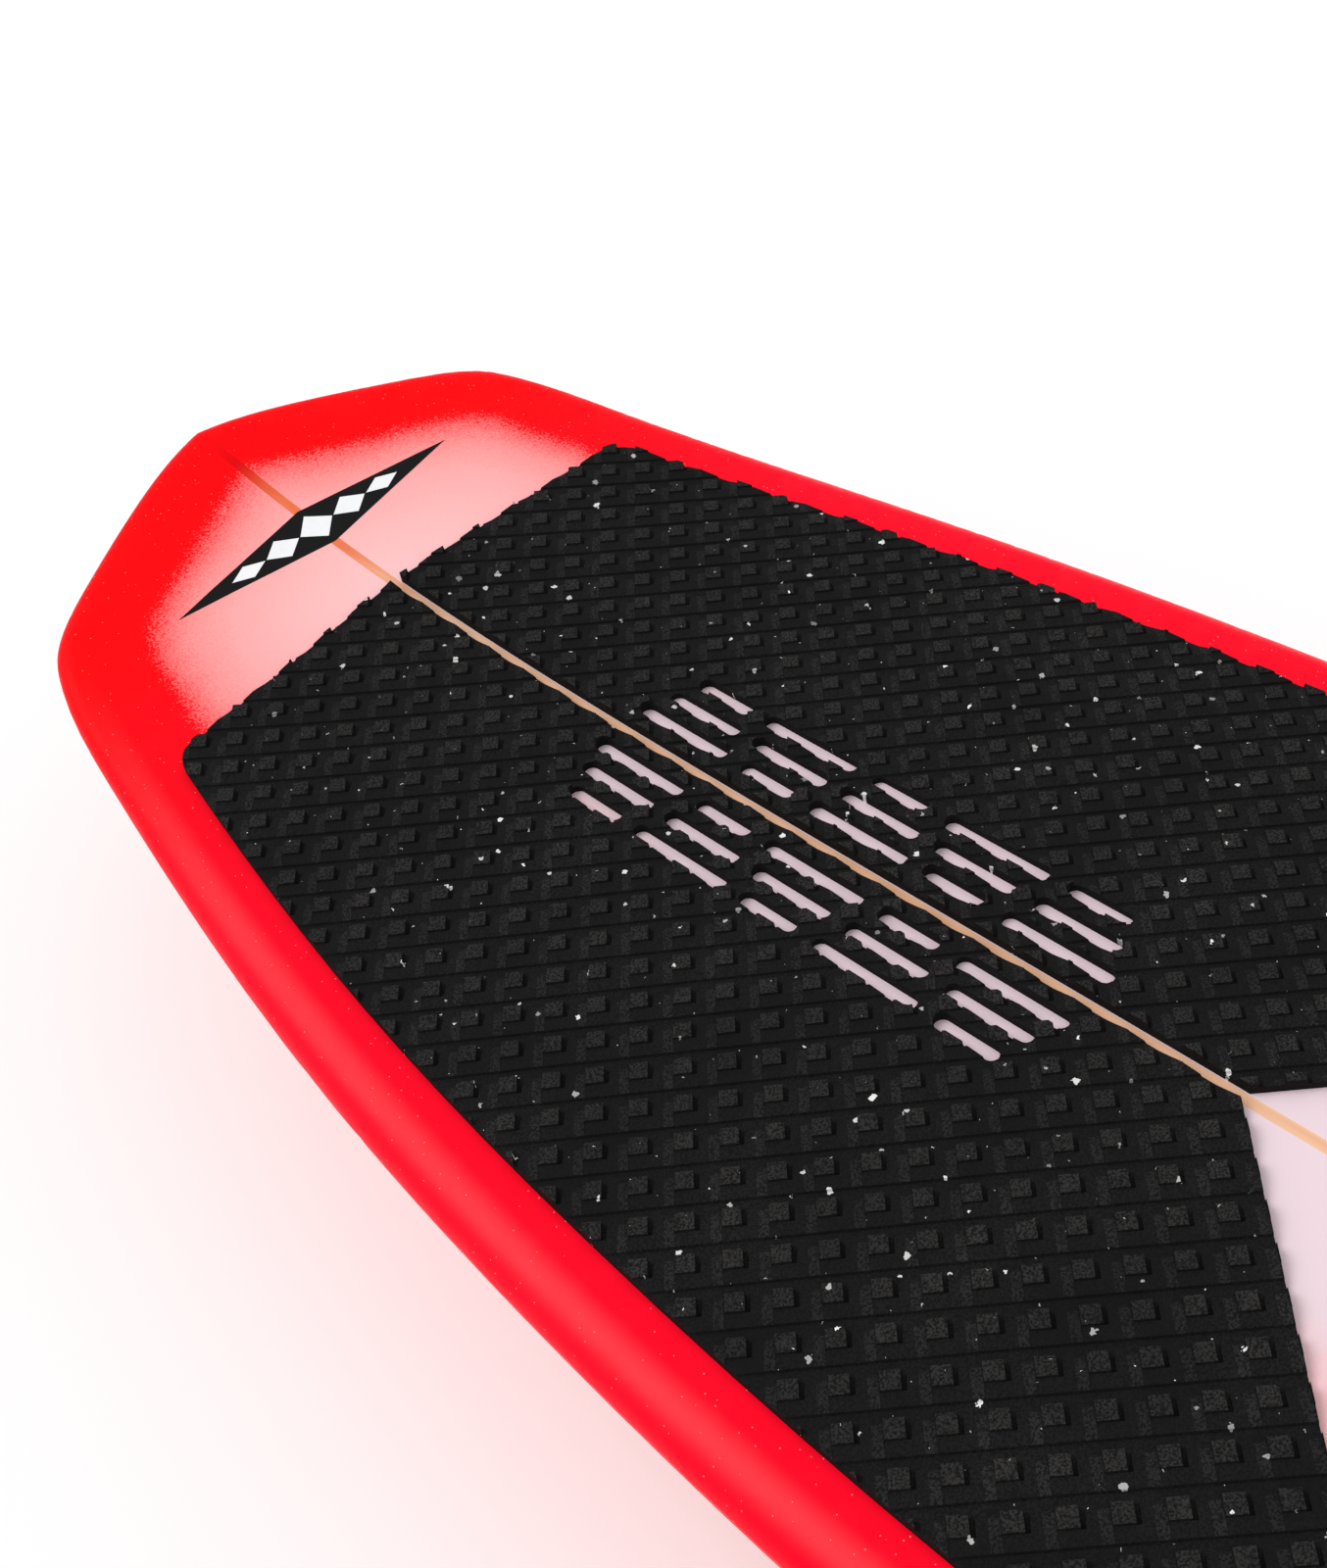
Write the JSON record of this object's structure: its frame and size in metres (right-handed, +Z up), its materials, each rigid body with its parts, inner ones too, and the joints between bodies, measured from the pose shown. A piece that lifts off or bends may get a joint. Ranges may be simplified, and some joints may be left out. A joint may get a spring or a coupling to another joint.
{
  "type": "bodyboard",
  "caption": "Short hard water board: wide blunt nose, red fade rails, black square-patterned foam deck pads with drain slots, wood stringer, fins and leash plug.",
  "frame": {"origin": "bottom centre of the board: mid length, on the stringer, level with the lowest fin tip", "axes": "+Y along the stringer to the nose, +X to the rider's right, +Z up out of the deck"},
  "size_m": [0.4702, 1.38, 0.1748],
  "materials": {
    "core_foam": "closed-cell foam",
    "stringer_wood": "bare plywood strip",
    "deck_glass": "sanded glass laminate, red fade over pale pink",
    "bottom_glass": "sanded glass laminate, red",
    "pad_foam": "embossed black EVA foam",
    "fin_composite": "moulded glass composite",
    "plug_plastic": "moulded black plastic",
    "screw_steel": "stainless steel"
  },
  "bodies": {
    "board": {"foam_core_left": "core_foam", "foam_core_right": "core_foam", "stringer": "stringer_wood", "deck_laminate": "deck_glass", "bottom_laminate": "bottom_glass", "front_pad_left": "pad_foam", "front_pad_right": "pad_foam", "tail_pad_left": "pad_foam", "tail_pad_right": "pad_foam", "tail_kick": "pad_foam", "leash_cup": "plug_plastic", "leash_pin": "screw_steel", "fin_plug_left_front": "plug_plastic", "fin_plug_left_rear": "plug_plastic", "fin_plug_right_front": "plug_plastic", "fin_plug_right_rear": "plug_plastic", "fin_plug_centre_front": "plug_plastic", "fin_plug_centre_rear": "plug_plastic"},
    "fin_left": {"fin_left": "fin_composite"},
    "screw_left_front": {"fin_screw_left_front": "screw_steel"},
    "screw_left_rear": {"fin_screw_left_rear": "screw_steel"},
    "fin_right": {"fin_right": "fin_composite"},
    "screw_right_front": {"fin_screw_right_front": "screw_steel"},
    "screw_right_rear": {"fin_screw_right_rear": "screw_steel"},
    "fin_centre": {"fin_centre": "fin_composite"},
    "screw_centre_front": {"fin_screw_centre_front": "screw_steel"},
    "screw_centre_rear": {"fin_screw_centre_rear": "screw_steel"}
  },
  "joints": [
    {"name": "fin_left_pull", "type": "slide", "parent": "board", "child": "fin_left", "axis": [-0.0896, -0.0444, -0.995], "range_m": [0, 0.02]},
    {"name": "screw_left_front_turn", "type": "hinge", "parent": "board", "child": "screw_left_front", "pos_m": [-0.15004, -0.39429, 0.11433], "axis": [0.4197, -0.0667, -0.9052], "range_deg": [0, 720]},
    {"name": "screw_left_rear_turn", "type": "hinge", "parent": "board", "child": "screw_left_rear", "pos_m": [-0.15378, -0.46561, 0.11785], "axis": [0.4197, -0.0667, -0.9052], "range_deg": [0, 720]},
    {"name": "fin_right_pull", "type": "slide", "parent": "board", "child": "fin_right", "axis": [0.0896, -0.0444, -0.995], "range_m": [0, 0.02]},
    {"name": "screw_right_front_turn", "type": "hinge", "parent": "board", "child": "screw_right_front", "pos_m": [0.15004, -0.39429, 0.11433], "axis": [-0.4197, -0.0667, -0.9052], "range_deg": [0, 720]},
    {"name": "screw_right_rear_turn", "type": "hinge", "parent": "board", "child": "screw_right_rear", "pos_m": [0.15378, -0.46561, 0.11785], "axis": [-0.4197, -0.0667, -0.9052], "range_deg": [0, 720]},
    {"name": "fin_centre_pull", "type": "slide", "parent": "board", "child": "fin_centre", "axis": [0, -0.0786, -0.9969], "range_m": [0, 0.02]},
    {"name": "screw_centre_front_turn", "type": "hinge", "parent": "board", "child": "screw_centre_front", "pos_m": [0.0054, -0.51973, 0.12179], "axis": [0.5, -0.068, -0.8633], "range_deg": [0, 720]},
    {"name": "screw_centre_rear_turn", "type": "hinge", "parent": "board", "child": "screw_centre_rear", "pos_m": [0.0054, -0.59101, 0.1274], "axis": [0.5, -0.068, -0.8633], "range_deg": [0, 720]}
  ]
}
